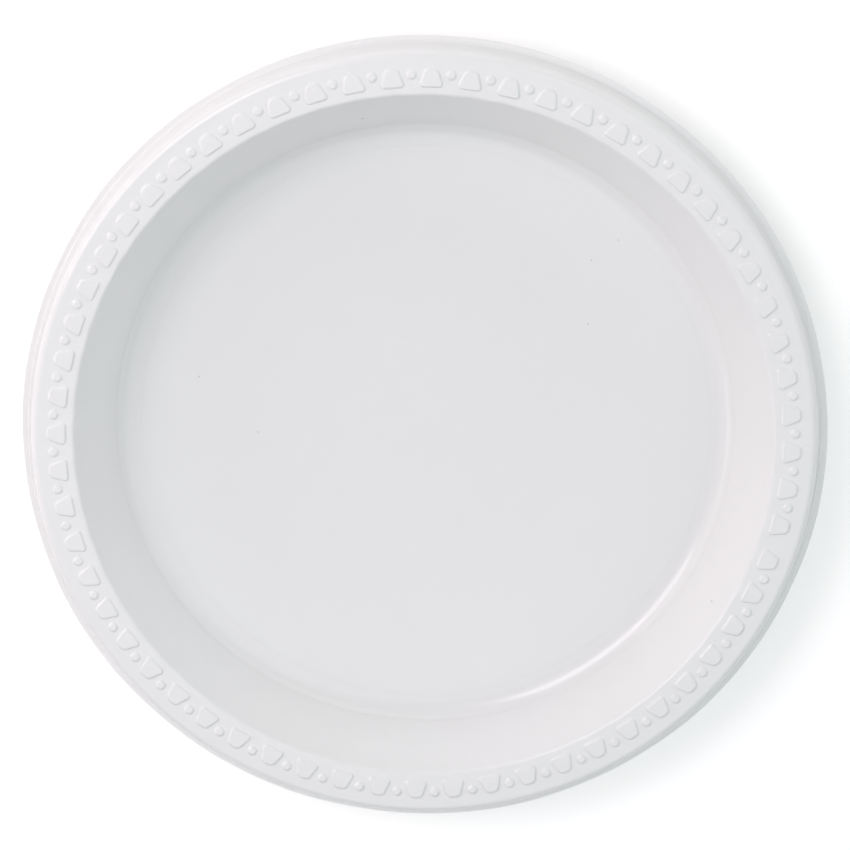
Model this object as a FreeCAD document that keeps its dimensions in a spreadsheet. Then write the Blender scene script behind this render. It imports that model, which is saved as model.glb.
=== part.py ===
"""Disposable plastic plate, thermoformed in one piece from a thin white sheet.

The model is one revolved shell of even thickness: a flat floor, a rounded corner, a
sloping wall, a flat rim, a turned-down skirt and a narrow trim flange. The rim carries
an embossed border of bells and beads, hollow behind like every form in a thermoformed
sheet. The origin is the centre of the underside, +Z is up and all sizes are in mm.
"""
import FreeCAD, Part
import math
import os

import Sketcher

# Driving sizes: alias, value, meaning. Lengths are in mm and angles in degrees.
SIZES = [
    ("plate_diameter", 228.6, "outer diameter over the trim flange"),
    ("sheet", 0.4, "thickness of the formed sheet"),
    ("depth", 20.0, "height of the rim above the floor"),
    ("flange_width", 2.0, "trim flange, from the skirt to the cut edge"),
    ("skirt_drop", 8.0, "height of the rim above the flange"),
    ("skirt_draft", 12.0, "lean of the skirt from upright"),
    ("shoulder", 2.7, "slanted shoulder between the rim and the skirt"),
    ("rim_width", 9.35, "flat top of the rim"),
    ("lip", 1.2, "slanted lip between the wall and the rim"),
    ("wall_slope", 58.0, "slope of the wall from level"),
    ("corner_radius", 6.8, "inside radius of the corner between floor and wall"),
    ("border_inset", 4.36, "bead circle, in from the outer edge of the flat rim"),
    ("border_pitch", 10.9, "least spacing of the bells along the bead circle"),
    ("emboss_height", 0.5, "height of the bells and beads above the rim"),
    ("emboss_slope", 60.0, "slope of their sides from level"),
    ("bell_tip", 1.65, "tip of a bell, outward from the bead circle"),
    ("bell_mouth", 3.7, "mouth of a bell, inward from the bead circle"),
    ("mouth_width", 6.3, "width of a bell at its mouth"),
    ("waist_width", 3.6, "width of a bell where it starts to close towards the tip"),
    ("tip_depth", 1.15, "radial length of a bell from there to the tip"),
    ("tip_width", 2.2, "width of a bell at its tip"),
    ("bead_diameter", 3.2, "diameter of a bead over its corners"),
]

BEAD_SIDES = 6
START, END, CENTRE = 1, 2, 3
ORIGIN = (-1, START)
MID_LINE = -1
AXIS_LINE = -2


def make_sizes(doc):
    """Write the driving sizes into a spreadsheet, one alias to a row."""
    sheet = doc.addObject("Spreadsheet::Sheet", "Sizes")
    for row, (alias, value, meaning) in enumerate(SIZES, start=1):
        sheet.set(f"A{row}", alias)
        sheet.set(f"B{row}", str(value))
        sheet.set(f"C{row}", meaning)
        sheet.setAlias(f"B{row}", alias)
    doc.recompute()
    return sheet


def origin_feature(body, role):
    """One of the body's own origin planes or axes, found by its role."""
    return next(item for item in body.Origin.OriginFeatures if item.Role == role)


def new_sketch(body, name, plane):
    """An empty sketch on one of the body's origin planes."""
    sketch = body.newObject("Sketcher::SketchObject", name)
    sketch.AttachmentSupport = [(origin_feature(body, plane), "")]
    sketch.MapMode = "FlatFace"
    return sketch


def bind(sketch, name, expression, kind, *references):
    """Add a named dimension whose value follows an expression."""
    value = FreeCAD.Units.Quantity(sketch.evalExpression(expression)).Value
    if kind == "Angle":
        value = math.radians(value)
    index = sketch.addConstraint(Sketcher.Constraint(kind, *references, value))
    sketch.renameConstraint(index, name)
    sketch.setExpression(f"Constraints.{name}", expression)


def measure(sketch, name, kind, *references):
    """Add a named dimension that only reads the sketch, for other sketches to use."""
    index = sketch.addConstraint(Sketcher.Constraint(kind, *references, 1.0))
    sketch.renameConstraint(index, name)
    sketch.setDriving(index, False)


def join(sketch, kind, *references):
    """Add a constraint that has no value."""
    sketch.addConstraint(Sketcher.Constraint(kind, *references))


def add_line(sketch, first, last):
    """Add a straight line and return its index."""
    return sketch.addGeometry(Part.LineSegment(FreeCAD.Vector(*first, 0), FreeCAD.Vector(*last, 0)))


def section_corners(sizes):
    """First guess at the corners of the upper face, walking inward from the flange."""
    draft = math.radians(sizes.skirt_draft)
    shoulder_slope = (math.pi / 2 - draft) / 2
    wall_slope = math.radians(sizes.wall_slope)
    flange_end = (sizes.plate_diameter / 2, sizes.sheet + sizes.depth - sizes.skirt_drop)
    flange_start = (flange_end[0] - sizes.flange_width, flange_end[1])
    rise = sizes.skirt_drop - sizes.shoulder * math.sin(shoulder_slope)
    skirt_start = (flange_start[0] - rise * math.tan(draft), flange_start[1] + rise)
    rim_end = (skirt_start[0] - sizes.shoulder * math.cos(shoulder_slope),
               sizes.sheet + sizes.depth)
    rim_start = (rim_end[0] - sizes.rim_width, rim_end[1])
    lip_start = (rim_start[0] - sizes.lip * math.cos(wall_slope / 2),
                 rim_start[1] - sizes.lip * math.sin(wall_slope / 2))
    corner_rise = sizes.corner_radius * (1 - math.cos(wall_slope))
    wall_rise = lip_start[1] - sizes.sheet - corner_rise
    wall_start = (lip_start[0] - wall_rise / math.tan(wall_slope), sizes.sheet + corner_rise)
    floor_end = (wall_start[0] - sizes.corner_radius * math.sin(wall_slope), sizes.sheet)
    return floor_end, [wall_start, lip_start, rim_start, rim_end,
                       skirt_start, flange_start, flange_end]


def draw_face(sketch, sizes, drop):
    """Draw one face of the sheet from the axis to the flange. Returns lines by name."""
    floor_end, corners = section_corners(sizes)
    corners = [(x, y - drop) for x, y in corners]
    floor_end = (floor_end[0], floor_end[1] - drop)
    centre = FreeCAD.Vector(floor_end[0], floor_end[1] + drop + sizes.corner_radius, 0)
    circle = Part.Circle(centre, FreeCAD.Vector(0, 0, 1), sizes.corner_radius + drop)
    sweep = math.radians(sizes.wall_slope)
    arc = Part.ArcOfCircle(circle, -math.pi / 2, sweep - math.pi / 2)
    face = {
        "floor": add_line(sketch, (0, floor_end[1]), floor_end),
        "corner": sketch.addGeometry(arc),
    }
    names = ("wall", "lip", "rim", "shoulder", "skirt", "flange")
    for name, first, last in zip(names, corners, corners[1:]):
        face[name] = add_line(sketch, first, last)
    join(sketch, "Tangent", face["floor"], END, face["corner"], START)
    join(sketch, "Tangent", face["corner"], END, face["wall"], START)
    for name, following in zip(names, names[1:]):
        join(sketch, "Coincident", face[name], END, face[following], START)
    for name in ("floor", "rim", "flange"):
        join(sketch, "Horizontal", face[name])
    return face


def draw_section(body, sizes):
    """The closed half section of the shell, drawn in the XZ plane.

    The upper face is dimensioned from the flange inward. Each stretch of the lower
    face runs parallel to the one above it, one thickness of the sheet away.
    """
    sketch = new_sketch(body, "Section", "XZ_Plane")
    upper = draw_face(sketch, sizes, 0.0)
    lower = draw_face(sketch, sizes, sizes.sheet)
    for name, end in (("floor", START), ("flange", END)):
        first = sketch.getPoint(upper[name], end)
        last = sketch.getPoint(lower[name], end)
        edge = add_line(sketch, (first.x, first.y), (last.x, last.y))
        join(sketch, "Coincident", edge, START, upper[name], end)
        join(sketch, "Coincident", edge, END, lower[name], end)
        join(sketch, "Vertical", edge)
    join(sketch, "Coincident", lower["floor"], START, *ORIGIN)
    join(sketch, "Coincident", lower["corner"], CENTRE, upper["corner"], CENTRE)
    for name in ("wall", "lip", "shoulder", "skirt"):
        join(sketch, "Parallel", lower[name], upper[name])
    for name in ("floor", "lip", "rim", "shoulder", "skirt", "flange"):
        bind(sketch, f"{name}_thickness", "Sizes.sheet", "Distance",
             lower[name], END, upper[name])

    bind(sketch, "plate_radius", "Sizes.plate_diameter / 2", "DistanceX",
         *ORIGIN, upper["flange"], END)
    bind(sketch, "flange_width", "Sizes.flange_width", "Distance", upper["flange"])
    bind(sketch, "skirt_drop", "Sizes.skirt_drop", "DistanceY",
         upper["flange"], START, upper["rim"], END)
    bind(sketch, "skirt_slope", "Sizes.skirt_draft - 90", "Angle", upper["skirt"])
    bind(sketch, "shoulder_slope", "(Sizes.skirt_draft - 90) / 2", "Angle", upper["shoulder"])
    bind(sketch, "shoulder", "Sizes.shoulder", "Distance", upper["shoulder"])
    bind(sketch, "rim_width", "Sizes.rim_width", "Distance", upper["rim"])
    bind(sketch, "lip", "Sizes.lip", "Distance", upper["lip"])
    bind(sketch, "lip_slope", "Sizes.wall_slope / 2", "Angle", upper["lip"])
    bind(sketch, "wall_slope", "Sizes.wall_slope", "Angle", upper["wall"])
    bind(sketch, "corner_radius", "Sizes.corner_radius", "Radius", upper["corner"])
    bind(sketch, "depth", "Sizes.depth", "DistanceY", upper["floor"], END, upper["rim"], START)

    rim_start = sketch.getPoint(upper["rim"], START)
    border = sketch.addGeometry(Part.Point(rim_start), True)
    join(sketch, "PointOnObject", border, START, upper["rim"])
    bind(sketch, "border_inset", "Sizes.border_inset", "DistanceX",
         border, START, upper["rim"], END)
    measure(sketch, "bead_circle", "DistanceX", *ORIGIN, border, START)
    measure(sketch, "rim_height", "DistanceY", *ORIGIN, border, START)
    return sketch


def close_outline(sketch, points):
    """Draw a closed outline and return its lines, each starting at its own point."""
    lines = [add_line(sketch, first, last)
             for first, last in zip(points, points[1:] + points[:1])]
    for line, following in zip(lines, lines[1:] + lines[:1]):
        join(sketch, "Coincident", line, END, following, START)
    return lines


def draw_bell(sketch, sizes, waisted=True):
    """Outline of a bell about the X axis: its mouth faces the well, its tip the skirt.

    A waisted bell narrows faster from its waist to the tip. The plain one is a
    trapezoid with the same mouth and tip.
    """
    circle = sketch.Document.Section.getDatum("bead_circle").Value
    mouth = (circle - sizes.bell_mouth, sizes.mouth_width / 2)
    waist = (circle + sizes.bell_tip - sizes.tip_depth, sizes.waist_width / 2)
    tip = (circle + sizes.bell_tip, sizes.tip_width / 2)
    half = [mouth, waist, tip] if waisted else [mouth, tip]
    lines = close_outline(sketch, half + [(x, -y) for x, y in reversed(half)])
    pairs = list(zip(lines, reversed(lines)))[:len(half)]
    for line, mirrored in pairs:
        join(sketch, "Symmetric", line, START, mirrored, START, MID_LINE)

    bind(sketch, "mouth", "Section.Constraints.bead_circle - Sizes.bell_mouth * 1 mm",
         "DistanceX", *ORIGIN, pairs[0][0], START)
    bind(sketch, "tip", "Section.Constraints.bead_circle + Sizes.bell_tip * 1 mm",
         "DistanceX", *ORIGIN, pairs[-1][0], START)
    names = ("mouth_width", "waist_width", "tip_width") if waisted else ("mouth_width", "tip_width")
    for name, (line, mirrored) in zip(names, pairs):
        bind(sketch, name, f"Sizes.{name}", "DistanceY", mirrored, START, line, START)
    if waisted:
        bind(sketch, "tip_depth", "Sizes.tip_depth", "DistanceX",
             pairs[1][0], START, pairs[-1][0], START)


def draw_bell_hollow(sketch, sizes):
    """Outline of the hollow under a bell, plainer than the bell itself."""
    draw_bell(sketch, sizes, waisted=False)


def draw_bead(sketch, sizes):
    """Outline of a bead on the X axis: a regular polygon with a corner on the axis."""
    centre = sketch.Document.Section.getDatum("bead_circle").Value
    radius = sizes.bead_diameter / 2
    turns = [2 * math.pi * side / BEAD_SIDES for side in range(BEAD_SIDES)]
    lines = close_outline(sketch, [(centre + radius * math.cos(turn), radius * math.sin(turn))
                                   for turn in turns])
    circle = Part.Circle(FreeCAD.Vector(centre, 0, 0), FreeCAD.Vector(0, 0, 1), radius)
    rim = sketch.addGeometry(circle, True)
    for line in lines:
        join(sketch, "PointOnObject", line, START, rim)
    for line in lines[1:]:
        join(sketch, "Equal", lines[0], line)
    join(sketch, "PointOnObject", rim, CENTRE, MID_LINE)
    join(sketch, "PointOnObject", lines[0], START, MID_LINE)
    bind(sketch, "bead_circle", "Section.Constraints.bead_circle", "DistanceX",
         *ORIGIN, rim, CENTRE)
    bind(sketch, "bead_diameter", "Sizes.bead_diameter", "Diameter", rim)


def outline_sketch(body, name, draw, sizes, height, turn):
    """An outline drawn level at a height above the underside, turned about the axis."""
    sketch = new_sketch(body, name, "XY_Plane")
    draw(sketch, sizes)
    sketch.AttachmentOffset = FreeCAD.Placement(FreeCAD.Vector(0, 0, 1),
                                                FreeCAD.Rotation(FreeCAD.Vector(0, 0, 1), 1))
    sketch.setExpression("AttachmentOffset.Base.z", height)
    sketch.setExpression("AttachmentOffset.Rotation.Angle", turn)
    return sketch


def emboss(body, name, draw_raised, draw_hollow, sizes, turn):
    """Raise one form on the rim and hollow it from below, to the sheet's own thickness.

    The hollow's outline lies so far below the rim that sides rising from the same
    outline are one thickness apart.
    """
    drop = "Sizes.sheet / cos(Sizes.emboss_slope * 1 deg)"
    raised = body.newObject("PartDesign::Pad", name)
    raised.Profile = outline_sketch(body, f"{name}Outline", draw_raised, sizes,
                                    "Section.Constraints.rim_height", turn)
    raised.setExpression("Length", "Sizes.emboss_height")

    hollow = body.newObject("PartDesign::Pocket", f"{name}Hollow")
    hollow.Profile = outline_sketch(body, f"{name}HollowOutline", draw_hollow, sizes,
                                    f"Section.Constraints.rim_height - {drop} * 1 mm", turn)
    hollow.Reversed = True
    hollow.setExpression("Length", f"Sizes.emboss_height - Sizes.sheet + {drop}")
    for feature in (raised, hollow):
        feature.setExpression("TaperAngle", "Sizes.emboss_slope - 90")
        feature.Refine = False
    return raised, hollow


def repeat(body, name, features, occurrences, angle):
    """Repeat raised and hollow forms round the axis."""
    pattern = body.newObject("PartDesign::PolarPattern", name)
    pattern.Originals = list(features)
    pattern.Axis = (origin_feature(body, "Z_Axis"), [""])
    pattern.setExpression("Occurrences", occurrences)
    pattern.setExpression("Angle", angle)
    pattern.Refine = False
    body.Tip = pattern
    return pattern


def make_plate(doc, sizes):
    """The whole plate: revolved shell, then the ring of bells with a bead between each."""
    body = doc.addObject("PartDesign::Body", "Plate")
    body.Label = "plate"
    section = draw_section(body, sizes)
    shell = body.newObject("PartDesign::Revolution", "Shell")
    shell.Profile = section
    shell.ReferenceAxis = (origin_feature(body, "Z_Axis"), [""])
    shell.Angle = 360
    doc.recompute()

    bells = "floor(2 * pi * Section.Constraints.bead_circle / (Sizes.border_pitch * 1 mm))"
    bell = emboss(body, "Bell", draw_bell, draw_bell_hollow, sizes, "0 deg")
    repeat(body, "Bells", bell, bells, "360 deg")
    doc.recompute()

    # One bead place stays blank, where the ring of beads starts and ends.
    bead = emboss(body, "Bead", draw_bead, draw_bead, sizes, "180 deg / Bells.Occurrences")
    repeat(body, "Beads", bead, "Bells.Occurrences - 1",
           "360 deg * (Bells.Occurrences - 2) / Bells.Occurrences")
    doc.recompute()
    return body


def check_volume(feature, sign):
    """Stop if a feature hasn't added (sign 1) or taken away (sign -1) material."""
    change = feature.Shape.Volume - feature.BaseFeature.Shape.Volume
    if change * sign <= 0:
        raise ValueError(f"{feature.Name} changes the volume by {change:.3f} mm3")


def check_document(doc):
    """Stop on any failed object, loose sketch, wrong-way feature or bad solid."""
    for item in doc.Objects:
        if "Invalid" in item.State or "Error" in item.State:
            raise ValueError(f"{item.Name} failed: {item.State}")
        if item.isDerivedFrom("Sketcher::SketchObject") and not item.FullyConstrained:
            raise ValueError(f"{item.Name} isn't fully constrained")
    for name in ("Bell", "Bead"):
        check_volume(doc.getObject(name), 1)
        check_volume(doc.getObject(f"{name}Hollow"), -1)


def export(body):
    """Check a sub-part's solid and write it under its own name."""
    shape = body.Shape
    if shape.isNull() or not shape.isValid() or len(shape.Solids) != 1:
        raise ValueError(f"{body.Label} isn't one valid solid")
    os.makedirs("parts", exist_ok=True)
    shape.exportStep(os.path.join("parts", f"{body.Label}.step"))
    print(f"{body.Label}: {shape.Volume / 1000:.2f} cm3, {shape.BoundBox}")


def main():
    """Build the document, check it and write the part."""
    doc = FreeCAD.newDocument("Plate")
    sizes = make_sizes(doc)
    plate = make_plate(doc, sizes)
    check_document(doc)
    export(plate)


main()
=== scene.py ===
"""Looks of a thermoformed plastic plate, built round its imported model.

The plate is one sheet: its mesh follows one section from the middle of the well out to
the cut edge and back along the underside, with the embossed border raised on the rim.
Lengths are in metres, +Z is up and the plate stands on z = 0.
"""
import logging
import math
from dataclasses import dataclass, field
from enum import Enum

import bpy
import numpy as np
from mathutils import Matrix, Vector


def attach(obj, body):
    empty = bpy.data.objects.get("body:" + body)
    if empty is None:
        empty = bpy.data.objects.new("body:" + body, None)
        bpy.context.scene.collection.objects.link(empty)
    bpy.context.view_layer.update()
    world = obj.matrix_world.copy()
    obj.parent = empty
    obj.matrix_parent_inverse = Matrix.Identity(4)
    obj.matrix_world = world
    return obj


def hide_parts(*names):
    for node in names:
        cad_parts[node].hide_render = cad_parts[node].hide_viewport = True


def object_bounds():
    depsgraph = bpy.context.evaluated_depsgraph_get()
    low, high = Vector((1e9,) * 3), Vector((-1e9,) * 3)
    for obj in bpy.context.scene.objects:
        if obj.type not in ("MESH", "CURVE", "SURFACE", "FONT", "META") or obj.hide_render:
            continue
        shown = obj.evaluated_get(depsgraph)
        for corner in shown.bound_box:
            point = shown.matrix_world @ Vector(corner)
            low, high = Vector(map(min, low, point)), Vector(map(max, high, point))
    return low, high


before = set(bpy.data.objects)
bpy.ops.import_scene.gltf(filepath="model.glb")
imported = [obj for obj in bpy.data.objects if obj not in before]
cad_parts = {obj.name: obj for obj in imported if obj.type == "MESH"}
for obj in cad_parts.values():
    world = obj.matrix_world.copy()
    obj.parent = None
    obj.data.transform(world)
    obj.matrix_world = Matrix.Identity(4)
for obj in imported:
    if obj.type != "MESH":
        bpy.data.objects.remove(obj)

MM = 0.001
LOG = logging.getLogger("plate")

Colour = tuple[float, float, float]
Point = tuple[float, float]

# Rings over a ridge: place across its width, share of its rise, and turn of the normal.
RIDGE_RINGS = ((-0.5, 0, 0), (-0.25, 0.5, 1), (0, 1, 0), (0.25, 0.5, -1), (0.5, 0, 0))

# Waves of the cut flange: how many go round the plate, where they start, and their share.
FLANGE_WAVES = ((10, 0.6, 1.0), (23, 2.1, 0.5))


class Columns(Enum):
    """How many mesh columns a ring has for each bell of the border."""

    PLAIN = 4
    UNDER_BORDER = 20
    BORDER = 40


@dataclass(frozen=True)
class Station:
    """One ring of the sheet's surface, given by the point where it crosses the section.

    Args:
        radius: distance from the plate's axis.
        height: height above the table.
        lean: direction of the outward normal, from the radial direction towards +Z.
        columns: how finely the ring is divided.
        scallop: how far the ring swings out at every bell and in at every bead.
    """

    radius: float
    height: float
    lean: float
    columns: Columns = Columns.PLAIN
    scallop: float = 0.0

    def under(self, sheet: float, columns: Columns) -> "Station":
        """The matching station of the lower face.

        Args:
            sheet: thickness of the sheet.
            columns: how finely the lower ring is divided.

        Returns:
            A station one thickness of the sheet away, facing the other way.
        """
        return Station(
            self.radius - sheet * math.cos(self.lean),
            self.height - sheet * math.sin(self.lean),
            self.lean + math.pi,
            columns,
            self.scallop,
        )

    def ridge(self, width: float, rise: float) -> list["Station"]:
        """Stations over a low rounded ridge that runs round the plate at this station.

        Args:
            width: width of the ridge along the surface.
            rise: height of its crest above the surface.

        Returns:
            Five stations, from the side of the axis outward.
        """
        tilt = math.atan(math.pi * rise / width)
        out, up = math.cos(self.lean), math.sin(self.lean)
        stations = []
        for place, share, turn in RIDGE_RINGS:
            along, above = place * width, share * rise
            stations.append(Station(self.radius + along * up + above * out,
                                    self.height - along * out + above * up,
                                    self.lean + turn * tilt))
        return stations


@dataclass(frozen=True)
class Bell:
    """A bell of the border: a trapezoid with rounded corners, mouth towards the well.

    Args:
        mouth: distance of the mouth from the bead circle, towards the axis.
        tip: distance of the tip from the bead circle, away from the axis.
        mouth_corner: radius of the two corners of the mouth.
        tip_corner: radius of the two corners of the tip.
        mouth_half: from the middle of the bell to the centre of a mouth corner.
        tip_half: from the middle of the bell to the centre of a tip corner.
        mouth_slope: width of the rounded side at the mouth, seen from above.
        tip_slope: width of the rounded side at the tip, where the sheet forms less sharply.
    """

    mouth: float = 3.75 * MM
    tip: float = 2.05 * MM
    mouth_corner: float = 1.15 * MM
    tip_corner: float = 2.0 * MM
    mouth_half: float = 2.15 * MM
    tip_half: float = 0.5 * MM
    mouth_slope: float = 0.52 * MM
    tip_slope: float = 0.78 * MM

    def share(self, out: np.ndarray, across: np.ndarray, inset: float) -> np.ndarray:
        """How far up the bell's side a point lies: 0 at its foot, 1 on its flat top.

        Args:
            out: distance from the bead circle, away from the axis.
            across: distance from the middle of the bell.
            inset: how far the outline is drawn in.

        Returns:
            The share, held between 0 and 1.
        """
        along = np.clip((out + self.mouth) / (self.mouth + self.tip), 0, 1)
        width = self.mouth_slope + (self.tip_slope - self.mouth_slope) * along
        return np.clip((self.inside(out, across) - inset) / width, 0, 1)

    def inside(self, out: np.ndarray, across: np.ndarray) -> np.ndarray:
        """Distance inside the outline, below zero outside it.

        Args:
            out: distance from the bead circle, away from the axis.
            across: distance from the middle of the bell.

        Returns:
            The distance to the nearest point of the outline.
        """
        side = np.abs(across)
        mouth_centre = (self.mouth_corner - self.mouth, self.mouth_half)
        tip_centre = (self.tip - self.tip_corner, self.tip_half)
        run = tip_centre[0] - mouth_centre[0]
        narrowing = self.mouth_half - self.tip_half
        bulge = (self.tip_corner - self.mouth_corner) / math.hypot(run, narrowing)
        slant = math.atan2(narrowing, run) - math.asin(bulge)
        normal = (math.sin(slant), math.cos(slant))

        from_mouth = (out - mouth_centre[0], side - mouth_centre[1])
        from_tip = (out - tip_centre[0], side - tip_centre[1])
        beyond = np.maximum(-from_mouth[0] - self.mouth_corner, from_tip[0] - self.tip_corner)
        flank = from_mouth[0] * normal[0] + from_mouth[1] * normal[1] - self.mouth_corner
        outside = np.maximum(beyond, flank)

        at_mouth = (from_mouth[1] > 0) & (from_mouth[0] * normal[1] < from_mouth[1] * normal[0])
        at_tip = (from_tip[0] > 0) & (from_tip[0] * normal[1] > from_tip[1] * normal[0])
        at_tip &= from_tip[1] > 0
        outside = np.where(at_mouth, np.hypot(*from_mouth) - self.mouth_corner, outside)
        outside = np.where(at_tip, np.hypot(*from_tip) - self.tip_corner, outside)
        return -outside


@dataclass(frozen=True)
class Border:
    """The ring of bells and beads embossed in the rim.

    Args:
        circle: radius of the circle through the beads.
        bells: how many bells go round; every gap between two holds a bead but one.
        bell: the form of one bell.
        rise: height of a bell or a bead above the rim.
        bead_radius: radius of a bead at its foot.
        bead_slope: width of a bead's rounded side, seen from above.
        lower_inset: how far inside the outline the hollow's outline lies.
    """

    circle: float
    bells: int
    bell: Bell = field(default_factory=Bell)
    rise: float = 0.49 * MM
    bead_radius: float = 1.6 * MM
    bead_slope: float = 0.8 * MM
    lower_inset: float = 0.2 * MM

    @property
    def pitch(self) -> float:
        """Angle from one bell to the next."""
        return 2 * math.pi / self.bells

    def height(self, radius: np.ndarray, angle: np.ndarray, inset: float) -> np.ndarray:
        """Height of the border above the flat rim.

        Args:
            radius: distance from the axis.
            angle: angle about the axis, zero at the middle of a bell.
            inset: how far every outline is drawn in, for the hollows underneath.

        Returns:
            The height at each point.
        """
        turn = angle / self.pitch
        off_bell = (turn - np.round(turn)) * self.pitch
        off_bead = (turn - np.floor(turn) - 0.5) * self.pitch
        bells = self.bell.share(radius * np.cos(off_bell) - self.circle,
                                radius * np.sin(off_bell), inset)
        away = np.hypot(radius * np.cos(off_bead) - self.circle, radius * np.sin(off_bead))
        beads = np.clip((self.bead_radius - inset - away) / self.bead_slope, 0, 1)
        last_gap = np.floor(turn) % self.bells == self.bells - 1
        share = np.maximum(bells, np.where(last_gap, 0, beads))
        rounded = share * share * (3 - 2 * share)
        return self.rise * rounded

    def slope(self, radius: np.ndarray, angle: np.ndarray,
              inset: float) -> tuple[np.ndarray, np.ndarray]:
        """Slope of the border's height.

        Args:
            radius: distance from the axis.
            angle: angle about the axis, zero at the middle of a bell.
            inset: how far every outline is drawn in, for the hollows underneath.

        Returns:
            The slope outward and the slope round the axis, at each point.
        """
        step = 0.01 * MM
        outward = (self.height(radius + step, angle, inset)
                   - self.height(radius - step, angle, inset)) / (2 * step)
        turn = step / radius
        around = (self.height(radius, angle + turn, inset)
                  - self.height(radius, angle - turn, inset)) / (2 * step)
        return outward, around


@dataclass
class SheetSection:
    """The plate's section: floor, corner, wall, lip, rim, edge, skirt, fillet and flange.

    Args:
        outer_radius: radius over the trim flange.
        top: height of the flat rim above the table.
        sheet: thickness of the sheet.
        skirt_drop: height of the rim above the flange.
        floor_radius: radius of the flat floor.
        corner_radius: inside radius between floor and wall.
        wall_slope: slope of the wall from level.
        lip_radius: outside radius between wall and rim.
        rim_inner: radius where the rim becomes flat.
        rim_outer: radius where the flat rim ends.
        edge_radius: outside radius between rim and skirt.
        skirt_draft: lean of the skirt from upright.
        fillet: inside radius between skirt and flange.
        witness: radius of the faint line that the mould leaves on the floor.
        witness_size: width and rise of that line.
        crease_size: width and rise of the line where the corner meets the wall.
        scallop: how far the lip swings out at a bell and in at a bead.
        floor_rings: number of rings on the flat floor inside the witness line.
        floor_margin: distance from the last of them to that line.
        corner_steps: number of steps along the corner's arc.
        edge_steps: number of steps along the lip's arc and along the outer edge's.
        fillet_steps: number of steps along the fillet's arc and round the cut edge.
    """

    outer_radius: float
    top: float
    sheet: float = 0.4 * MM
    skirt_drop: float = 8.0 * MM
    floor_radius: float = 82.55 * MM
    corner_radius: float = 6.8 * MM
    wall_slope: float = math.radians(58)
    lip_radius: float = 1.24 * MM
    rim_inner: float = 99.5 * MM
    rim_outer: float = 108.86 * MM
    edge_radius: float = 2.2 * MM
    skirt_draft: float = math.radians(12)
    fillet: float = 0.8 * MM
    witness: float = 81.35 * MM
    witness_size: Point = (0.55 * MM, 0.05 * MM)
    crease_size: Point = (0.5 * MM, 0.075 * MM)
    scallop: float = 0.08 * MM
    floor_rings: int = 4
    floor_margin: float = 1 * MM
    corner_steps: int = 14
    edge_steps: int = 8
    fillet_steps: int = 4

    def arc(self, centre: Point, radius: float, start: float, end: float, steps: int,
            hollow: bool = False, scallop: float = 0.0) -> list[Station]:
        """Stations along an arc of the upper face.

        Args:
            centre: radius and height of the arc's centre.
            radius: radius of the arc.
            start: lean of the normal at the arc's start.
            end: lean of the normal at its end.
            steps: number of steps along the arc.
            hollow: true where the surface faces the arc's centre.
            scallop: how far the arc's rings swing out at a bell and in at a bead.

        Returns:
            One station more than there are steps.
        """
        sign = -1 if hollow else 1
        stations = []
        for step in range(steps + 1):
            lean = start + (end - start) * step / steps
            stations.append(Station(centre[0] + sign * radius * math.cos(lean),
                                    centre[1] + sign * radius * math.sin(lean), lean,
                                    scallop=scallop))
        return stations

    def upper(self, band: list[float]) -> list[Station]:
        """Stations of the upper face, from the axis to the flange's edge.

        Args:
            band: radii of the fine rings that carry the border.

        Returns:
            The stations in order.
        """
        level = math.pi / 2
        wall = level + self.wall_slope
        floor = self.sheet
        rings = np.linspace(0, self.witness - self.floor_margin, self.floor_rings)
        stations = [Station(radius, floor, level) for radius in rings]
        stations += Station(self.witness, floor, level).ridge(*self.witness_size)
        stations += self.arc((self.floor_radius, floor + self.corner_radius),
                             self.corner_radius, level, wall, self.corner_steps, hollow=True)
        corner_end = stations[-1]
        past_corner = self.crease_size[0]
        stations += Station(corner_end.radius + past_corner * math.cos(self.wall_slope),
                            corner_end.height + past_corner * math.sin(self.wall_slope),
                            corner_end.lean).ridge(*self.crease_size)
        stations += self.arc((self.rim_inner, self.top - self.lip_radius), self.lip_radius,
                             wall, level, self.edge_steps, scallop=self.scallop)
        stations += [Station(radius, self.top, level, Columns.BORDER) for radius in band]
        stations += self.arc((self.rim_outer, self.top - self.edge_radius),
                             self.edge_radius, level, self.skirt_draft, self.edge_steps)
        stations += self.arc(self.skirt_foot(), self.fillet, self.skirt_draft, level,
                             self.fillet_steps, hollow=True)
        stations.append(Station(self.outer_radius - self.sheet / 2,
                                self.top - self.skirt_drop, level))
        return stations

    def skirt_foot(self) -> Point:
        """Find the fillet that turns the skirt out into the flange.

        Returns:
            Radius and height of its centre.
        """
        height = self.top - self.skirt_drop + self.fillet
        start_radius = self.rim_outer + self.edge_radius * math.cos(self.skirt_draft)
        start_height = self.top - self.edge_radius * (1 - math.sin(self.skirt_draft))
        end_height = height - self.fillet * math.sin(self.skirt_draft)
        run = (start_height - end_height) * math.tan(self.skirt_draft)
        return start_radius + run + self.fillet * math.cos(self.skirt_draft), height

    def cut_edge(self) -> list[Station]:
        """Round the cut edge, from the flange's upper face to its lower face.

        Returns:
            The stations between the two faces.
        """
        half = self.sheet / 2
        middle = (self.outer_radius - half, self.top - self.skirt_drop - half)
        stations = self.arc(middle, half, math.pi / 2, -math.pi / 2, self.fillet_steps)
        return stations[1:-1]


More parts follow.
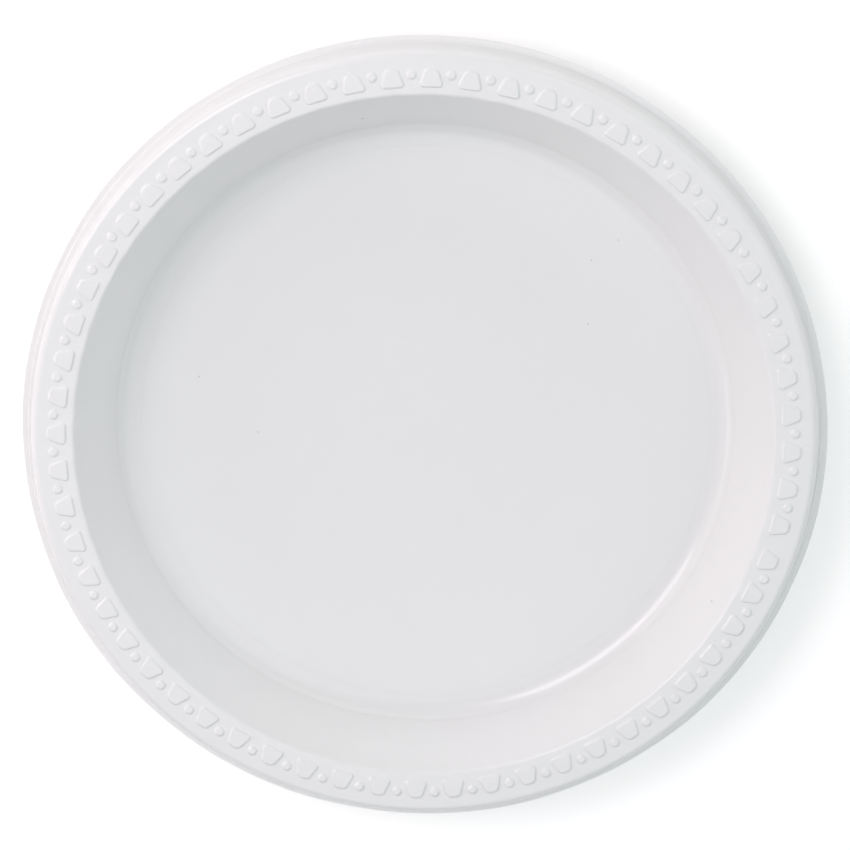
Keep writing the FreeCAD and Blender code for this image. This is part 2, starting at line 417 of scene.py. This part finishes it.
@dataclass
class PlateSheet:
    """The formed sheet: one closed surface with the border raised on its rim.

    Args:
        section: the plate's section.
        border: the border on its rim.
        band_margin: flat rim meshed finely on either side of the border.
        band_step: distance between two fine rings.
        flange_wave: how far the cut flange waves in and out, and down and up.
    """

    section: SheetSection
    border: Border
    band_margin: float = 0.15 * MM
    band_step: float = 0.27 * MM
    flange_wave: Point = (0.2 * MM, 0.1 * MM)

    def band(self) -> list[float]:
        """Place the fine rings across the border.

        Returns:
            Their radii.
        """
        start = self.border.circle - self.border.bell.mouth - self.band_margin
        end = self.border.circle + self.border.bell.tip + self.band_margin
        steps = math.ceil((end - start) / self.band_step)
        return list(np.linspace(start, end, steps + 1))

    def stations(self) -> list[Station]:
        """List every ring of the closed surface.

        Underneath, the border has half the upper face's rings and half their columns.

        Returns:
            The stations, from the well out and back underneath.
        """
        upper = self.section.upper(self.band())
        lower = []
        for index, station in enumerate(reversed(upper)):
            fine = station.columns is Columns.BORDER
            if fine and index % 2:
                continue
            columns = Columns.UNDER_BORDER if fine else Columns.PLAIN
            lower.append(station.under(self.section.sheet, columns))
        return upper + self.section.cut_edge() + lower

    def wave(self, station: Station, angle: np.ndarray) -> np.ndarray:
        """How far the flange's waves move a ring, as a share of their full depth.

        Args:
            station: where the ring crosses the section.
            angle: angle about the axis of each point of the ring.

        Returns:
            The share at each point, from -1 to 0, and 0 inside the skirt's foot.
        """
        past_foot = (station.radius - self.section.skirt_foot()[0]) / MM
        swing = sum(share * np.sin(waves * angle + start)
                    for waves, start, share in FLANGE_WAVES)
        swing /= sum(share for _, _, share in FLANGE_WAVES)
        return min(max(past_foot, 0), 1) * (swing - 1) / 2

    def ring(self, station: Station) -> tuple[np.ndarray, np.ndarray]:
        """Points and normals of one ring.

        Args:
            station: where the ring crosses the section.

        Returns:
            Two arrays with a row for each point of the ring.
        """
        count = station.columns.value * self.border.bells
        angle = np.arange(count) * 2 * math.pi / count
        radius = np.full(count, station.radius)
        height = np.full(count, station.height)
        out = np.full(count, math.cos(station.lean))
        up = np.full(count, math.sin(station.lean))
        around = np.zeros(count)
        if station.columns is not Columns.PLAIN:
            inset = 0 if station.columns is Columns.BORDER else self.border.lower_inset
            height = height + self.border.height(radius, angle, inset)
            slope_out, slope_around = self.border.slope(radius, angle, inset)
            facing = math.sin(station.lean)
            out, around = -slope_out * facing, -slope_around * facing
        radius = radius + station.scallop * np.cos(self.border.bells * angle)
        wave = self.wave(station, angle)
        radius = radius + self.flange_wave[0] * wave
        height = height + self.flange_wave[1] * wave
        points = np.column_stack((radius * np.cos(angle), radius * np.sin(angle), height))
        normals = np.column_stack((out * np.cos(angle) - around * np.sin(angle),
                                   out * np.sin(angle) + around * np.cos(angle), up))
        return points, normals / np.linalg.norm(normals, axis=1)[:, None]

    @staticmethod
    def stitch(first: int, first_count: int, second: int, second_count: int) -> list[tuple]:
        """Faces between two rings whose point counts are equal or divide each other.

        Args:
            first: index of the first ring's first point.
            first_count: number of its points.
            second: index of the second ring's first point.
            second_count: number of its points.

        Returns:
            Quads, or fans of triangles where the counts differ.
        """
        coarse, fine = min(first_count, second_count), max(first_count, second_count)
        share = fine // coarse
        faces = []
        for step in range(coarse):
            ahead = (step + 1) % coarse
            if share == 1:
                faces.append((first + step, second + step, second + ahead, first + ahead))
                continue
            inner, outer = (first, second) if first_count == coarse else (second, first)
            dense = [outer + (step * share + part) % fine for part in range(share + 1)]
            half = share // 2
            fan = [(inner + step, a, b) for a, b in zip(dense[:half], dense[1:half + 1])]
            fan.append((inner + step, dense[half], inner + ahead))
            fan += [(inner + ahead, a, b) for a, b in zip(dense[half:], dense[half + 1:])]
            faces += fan if first_count == coarse else [face[::-1] for face in fan]
        return faces

    def build(self, name: str) -> bpy.types.Object:
        """Make the mesh and its object.

        Args:
            name: the piece's name.

        Returns:
            The new object, linked to the scene.
        """
        points, normals, faces = [], [], []
        last_start, last_count, start = 0, 0, 0
        for station in self.stations():
            if station.radius < MM:
                facing = math.copysign(1, math.sin(station.lean))
                ring_points = np.array([[0, 0, station.height]])
                ring_normals = np.array([[0, 0, facing]])
            else:
                ring_points, ring_normals = self.ring(station)
            points.append(ring_points)
            normals.append(ring_normals)
            count = len(ring_points)
            if last_count == 1:
                faces += [(last_start, start + step, start + (step + 1) % count)
                          for step in range(count)]
            elif count == 1:
                faces += [(start, last_start + (step + 1) % last_count, last_start + step)
                          for step in range(last_count)]
            elif last_count:
                faces += self.stitch(last_start, last_count, start, count)
            last_start, last_count, start = start, count, start + count
        mesh = bpy.data.meshes.new(name)
        mesh.from_pydata(np.concatenate(points).tolist(), [], faces)
        mesh.validate()
        mesh.shade_smooth()
        mesh.normals_split_custom_set_from_vertices(np.concatenate(normals).tolist())
        piece = bpy.data.objects.new(name, mesh)
        bpy.context.collection.objects.link(piece)
        return piece


@dataclass(frozen=True)
class Speck:
    """A grey fleck of dust in the sheet.

    Args:
        reach: distance of the fleck from the plate's axis.
        bearing: its direction about the axis, from +X.
        radius: its radius.
    """

    reach: float
    bearing: float
    radius: float = 0.3 * MM

    @property
    def place(self) -> tuple[float, float, float]:
        """Where the fleck lies, seen from above."""
        return (self.reach * math.cos(self.bearing), self.reach * math.sin(self.bearing), 0)


@dataclass(frozen=True)
class GlossyPlastic:
    """White high-impact polystyrene with the even gloss of a formed sheet.

    Args:
        colour: the plastic's own colour.
        shade: the colour of its slightly denser patches.
        roughness: lowest and highest roughness over the surface.
        patch: size of one patch of denser or rougher sheet.
        ripple: length and depth of the slight unevenness of the sheet.
        grain: length and depth of the fine texture of the mould.
        translucency: share of the light that goes through either face of the sheet.
        ior: refractive index, raised a little because the share that goes through has no gloss.
        fleck_colour: colour of a fleck of dust.
        fleck_core: share of a fleck's radius within which it has its full colour.
        flecks: the flecks in the sheet.
    """

    colour: Colour = (0.965, 0.966, 0.96)
    shade: Colour = (0.955, 0.956, 0.952)
    roughness: tuple[float, float] = (0.11, 0.17)
    patch: float = 14 * MM
    ripple: tuple[float, float] = (16 * MM, 0.02 * MM)
    grain: tuple[float, float] = (0.7 * MM, 0.001 * MM)
    translucency: float = 0.3
    ior: float = 1.65
    fleck_colour: Colour = (0.72, 0.72, 0.71)
    fleck_core: float = 0.5
    flecks: tuple[Speck, ...] = (
        Speck(95.3 * MM, math.radians(-17)),
        Speck(77.1 * MM, math.radians(58)),
        Speck(67.6 * MM, math.radians(59)),
        Speck(55.2 * MM, math.radians(46)),
        Speck(92.0 * MM, math.radians(114), 0.35 * MM),
        Speck(66.2 * MM, math.radians(-179)),
        Speck(48.0 * MM, math.radians(-164)),
    )

    @staticmethod
    def noise(tree: bpy.types.NodeTree, place: bpy.types.NodeSocket,
              length: float, detail: float = 0) -> bpy.types.NodeSocket:
        """A noise over the surface.

        Args:
            tree: the material's node tree.
            place: coordinates in metres.
            length: size of the noise's largest features.
            detail: how many finer layers it has.

        Returns:
            The noise's value, from 0 to 1.
        """
        noise = tree.nodes.new("ShaderNodeTexNoise")
        noise.inputs["Scale"].default_value = 1 / length
        noise.inputs["Detail"].default_value = detail
        tree.links.new(place, noise.inputs["Vector"])
        return noise.outputs["Fac"]

    def fleck_mask(self, tree: bpy.types.NodeTree,
                   place: bpy.types.NodeSocket) -> bpy.types.NodeSocket:
        """A mask that is 1 on the flecks and 0 elsewhere.

        Args:
            tree: the material's node tree.
            place: coordinates in metres.

        Returns:
            The mask's value.
        """
        level = tree.nodes.new("ShaderNodeVectorMath")
        level.operation = "MULTIPLY"
        level.inputs[1].default_value = (1, 1, 0)
        tree.links.new(place, level.inputs[0])
        nearest = None
        for fleck in self.flecks:
            away = tree.nodes.new("ShaderNodeVectorMath")
            away.operation = "DISTANCE"
            away.inputs[1].default_value = fleck.place
            tree.links.new(level.outputs["Vector"], away.inputs[0])
            share = tree.nodes.new("ShaderNodeMath")
            share.operation = "DIVIDE"
            share.inputs[1].default_value = fleck.radius
            tree.links.new(away.outputs["Value"], share.inputs[0])
            if nearest is None:
                nearest = share.outputs[0]
                continue
            smaller = tree.nodes.new("ShaderNodeMath")
            smaller.operation = "MINIMUM"
            tree.links.new(nearest, smaller.inputs[0])
            tree.links.new(share.outputs[0], smaller.inputs[1])
            nearest = smaller.outputs[0]
        edge = tree.nodes.new("ShaderNodeMapRange")
        edge.inputs["From Min"].default_value = 1
        edge.inputs["From Max"].default_value = self.fleck_core
        tree.links.new(nearest, edge.inputs["Value"])
        return edge.outputs["Result"]

    def uneven(self, tree: bpy.types.NodeTree,
               place: bpy.types.NodeSocket) -> bpy.types.NodeSocket:
        """The normal of the slightly rippled and grained surface.

        Args:
            tree: the material's node tree.
            place: coordinates in metres.

        Returns:
            The normal.
        """
        normal = None
        for length, depth in (self.ripple, self.grain):
            bump = tree.nodes.new("ShaderNodeBump")
            bump.inputs["Distance"].default_value = depth
            tree.links.new(self.noise(tree, place, length), bump.inputs["Height"])
            if normal is not None:
                tree.links.new(normal, bump.inputs["Normal"])
            normal = bump.outputs["Normal"]
        return normal

    @staticmethod
    def blend(tree: bpy.types.NodeTree, share: bpy.types.NodeSocket,
              first: Colour | bpy.types.NodeSocket, second: Colour) -> bpy.types.NodeSocket:
        """Blend two colours.

        Args:
            tree: the material's node tree.
            share: share of the second colour.
            first: the first colour, fixed or from a socket.
            second: the second colour.

        Returns:
            The blended colour.
        """
        mix = tree.nodes.new("ShaderNodeMix")
        mix.data_type = "RGBA"
        sockets = {socket.identifier: socket for socket in (*mix.inputs, *mix.outputs)}
        tree.links.new(share, sockets["Factor_Float"])
        if isinstance(first, tuple):
            sockets["A_Color"].default_value = (*first, 1)
        else:
            tree.links.new(first, sockets["A_Color"])
        sockets["B_Color"].default_value = (*second, 1)
        return sockets["Result_Color"]

    def build(self, name: str) -> bpy.types.Material:
        """Make the material.

        Args:
            name: the material's name.

        Returns:
            The new material.
        """
        material = bpy.data.materials.new(name)
        material.use_nodes = True
        tree = material.node_tree
        nodes, links = tree.nodes, tree.links
        shader = nodes["Principled BSDF"]
        shader.inputs["IOR"].default_value = self.ior
        place = nodes.new("ShaderNodeTexCoord").outputs["Object"]
        patches = self.noise(tree, place, self.patch, detail=1)

        tone = self.blend(tree, patches, self.colour, self.shade)
        colour = self.blend(tree, self.fleck_mask(tree, place), tone, self.fleck_colour)
        links.new(colour, shader.inputs["Base Color"])

        gloss = nodes.new("ShaderNodeMapRange")
        gloss.inputs["To Min"].default_value = self.roughness[0]
        gloss.inputs["To Max"].default_value = self.roughness[1]
        links.new(patches, gloss.inputs["Value"])
        links.new(gloss.outputs["Result"], shader.inputs["Roughness"])
        links.new(self.uneven(tree, place), shader.inputs["Normal"])

        through = nodes.new("ShaderNodeBsdfTranslucent")
        links.new(colour, through.inputs["Color"])
        mix = nodes.new("ShaderNodeMixShader")
        mix.inputs["Fac"].default_value = self.translucency
        links.new(shader.outputs["BSDF"], mix.inputs[1])
        links.new(through.outputs["BSDF"], mix.inputs[2])
        links.new(mix.outputs["Shader"], nodes["Material Output"].inputs["Surface"])
        return material


@dataclass(frozen=True)
class Softbox:
    """A rectangular studio lamp that points at the plate.

    Args:
        name: the lamp's name.
        bearing: direction towards the lamp about +Z, from +X.
        elevation: height of the lamp above the horizon.
        distance: distance from the plate's middle.
        width: level size of the lamp.
        height: its other size.
        power: radiant power in watts.
        colour: colour of the light.
    """

    name: str
    bearing: float
    elevation: float
    distance: float
    width: float
    height: float
    power: float
    colour: Colour = (1, 1, 1)

    def build(self) -> bpy.types.Object:
        """Make the lamp and aim it at the origin.

        Returns:
            The new lamp, which the camera doesn't see.
        """
        data = bpy.data.lights.new(self.name, "AREA")
        data.shape = "RECTANGLE"
        data.size, data.size_y = self.width, self.height
        data.energy = self.power
        data.color = self.colour
        lamp = bpy.data.objects.new(self.name, data)
        direction = Vector((math.cos(self.bearing) * math.cos(self.elevation),
                            math.sin(self.bearing) * math.cos(self.elevation),
                            math.sin(self.elevation)))
        lamp.location = direction * self.distance
        lamp.rotation_euler = direction.to_track_quat("Z", "Y").to_euler()
        lamp.visible_camera = False
        bpy.context.collection.objects.link(lamp)
        return lamp


@dataclass(frozen=True)
class Camera:
    """The camera, looking down on the well.

    Args:
        bearing: direction from the plate's middle to the camera about +Z, from +X.
        tilt: angle between the line of sight and the plate's axis.
        roll: turn of the picture about the line of sight.
        distance: distance from the camera to the point that it looks at.
        aim_height: height of that point on the plate's axis.
        lens: focal length in millimetres.
    """

    bearing: float = math.radians(98.6)
    tilt: float = math.radians(14.72)
    roll: float = math.radians(-175.24)
    distance: float = 0.9896
    aim_height: float = 0.4 * MM
    lens: float = 146.0

    def build(self) -> bpy.types.Object:
        """Make the camera and set it as the scene's.

        Returns:
            The new camera.
        """
        away = Vector((math.cos(self.bearing) * math.sin(self.tilt),
                       math.sin(self.bearing) * math.sin(self.tilt), math.cos(self.tilt)))
        data = bpy.data.cameras.new("Camera")
        data.lens = self.lens
        camera = bpy.data.objects.new("Camera", data)
        facing = away.to_track_quat("Z", "Y").to_matrix().to_4x4()
        turned = facing @ Matrix.Rotation(self.roll, 4, "Z")
        position = Vector((0, 0, self.aim_height)) + away * self.distance
        camera.matrix_world = Matrix.Translation(position) @ turned
        bpy.context.collection.objects.link(camera)
        bpy.context.scene.camera = camera
        return camera


@dataclass(frozen=True)
class Studio:
    """A plain white table top under soft light.

    Args:
        floor_half: half the side of the table top.
        floor_gap: how far the table top lies under the plate.
        floor_colour: its colour.
        lift: white that the table top adds to its shading where it is looked at.
        sky_colour: colour of the light from all round.
        sky_strength: strength of that light.
    """

    floor_half: float = 3.0
    floor_gap: float = 0.05 * MM
    floor_colour: Colour = (0.905, 0.9, 0.885)
    lift: float = 0.28
    sky_colour: Colour = (0.93, 1.0, 1.02)
    sky_strength: float = 0.15

    def floor(self) -> bpy.types.Object:
        """Make the table top.

        Returns:
            The new object, just under the plate.
        """
        half = self.floor_half
        mesh = bpy.data.meshes.new("table_top")
        corners = [(-half, -half, 0), (half, -half, 0), (half, half, 0), (-half, half, 0)]
        mesh.from_pydata(corners, [], [(0, 1, 2, 3)])
        mesh.materials.append(self.table_white())
        top = bpy.data.objects.new("table_top", mesh)
        top.location.z = -self.floor_gap
        bpy.context.collection.objects.link(top)
        return top

    def table_white(self) -> bpy.types.Material:
        """Make the table's finish: matt, and lifted by some white where it is looked at.

        Returns:
            A material that adds the white for the camera, in reflections and through the
            sheet, and lights nothing else with it.
        """
        material = bpy.data.materials.new("table_white")
        material.use_nodes = True
        nodes, links = material.node_tree.nodes, material.node_tree.links
        shader = nodes["Principled BSDF"]
        shader.inputs["Base Color"].default_value = (*self.floor_colour, 1)
        shader.inputs["Roughness"].default_value = 1
        shader.inputs["Specular IOR Level"].default_value = 0
        shader.inputs["Emission Color"].default_value = (1, 1, 1, 1)
        path = nodes.new("ShaderNodeLightPath")
        seen = path.outputs["Is Camera Ray"]
        for other in ("Is Glossy Ray", "Is Transmission Ray"):
            either = nodes.new("ShaderNodeMath")
            either.operation = "MAXIMUM"
            links.new(seen, either.inputs[0])
            links.new(path.outputs[other], either.inputs[1])
            seen = either.outputs[0]
        lift = nodes.new("ShaderNodeMath")
        lift.operation = "MULTIPLY"
        lift.inputs[1].default_value = self.lift
        links.new(seen, lift.inputs[0])
        links.new(lift.outputs[0], shader.inputs["Emission Strength"])
        return material

    def sky(self) -> None:
        """Light the scene evenly from all round."""
        world = bpy.data.worlds.new("studio_room")
        world.use_nodes = True
        background = world.node_tree.nodes["Background"]
        background.inputs["Color"].default_value = (*self.sky_colour, 1)
        background.inputs["Strength"].default_value = self.sky_strength
        bpy.context.scene.world = world


def lamps() -> list[Softbox]:
    """Place the studio's lamps.

    Returns:
        A window and the glow round it, a cool light overhead and two low strips.
    """
    rosy = (1.02, 0.94, 0.975)
    cool = (0.935, 0.995, 1.025)
    return [
        Softbox("window", bearing=math.radians(158), elevation=math.radians(47),
                distance=1.2, width=0.92, height=0.51, power=4.9, colour=rosy),
        Softbox("window_glow", bearing=math.radians(178), elevation=math.radians(45),
                distance=1.6, width=3.2, height=2.0, power=12.8, colour=rosy),
        Softbox("overhead", bearing=math.radians(-15), elevation=math.radians(58),
                distance=1.6, width=3.2, height=2.25, power=19.0, colour=cool),
        Softbox("low_left", bearing=math.radians(75), elevation=math.radians(13),
                distance=1.5, width=3.5, height=0.55, power=8.0),
        Softbox("low_back", bearing=math.radians(190), elevation=math.radians(12),
                distance=1.5, width=1.7, height=0.58, power=4.4, colour=rosy),
    ]


def main() -> None:
    """Build the plate, its finish and the studio."""
    logging.basicConfig(level=logging.INFO, format="%(name)s: %(message)s")
    cad_low, cad_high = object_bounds()
    bpy.context.scene.view_settings.view_transform = "Standard"

    border = Border(circle=104.5 * MM, bells=60)
    border_in_solid = 0.5 * MM
    section = SheetSection(outer_radius=(cad_high.x - cad_low.x) / 2,
                           top=cad_high.z - border_in_solid)
    plate = PlateSheet(section, border).build("plate_sheet")
    plate.data.materials.append(GlossyPlastic().build("white_polystyrene"))
    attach(plate, "root")
    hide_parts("plate")
    LOG.info("plate_sheet: %d faces", len(plate.data.polygons))

    studio = Studio()
    studio.floor()
    studio.sky()
    for lamp in lamps():
        lamp.build()
        LOG.info("lamp %s", lamp.name)
    Camera().build()


if __name__ == "__main__":
    main()
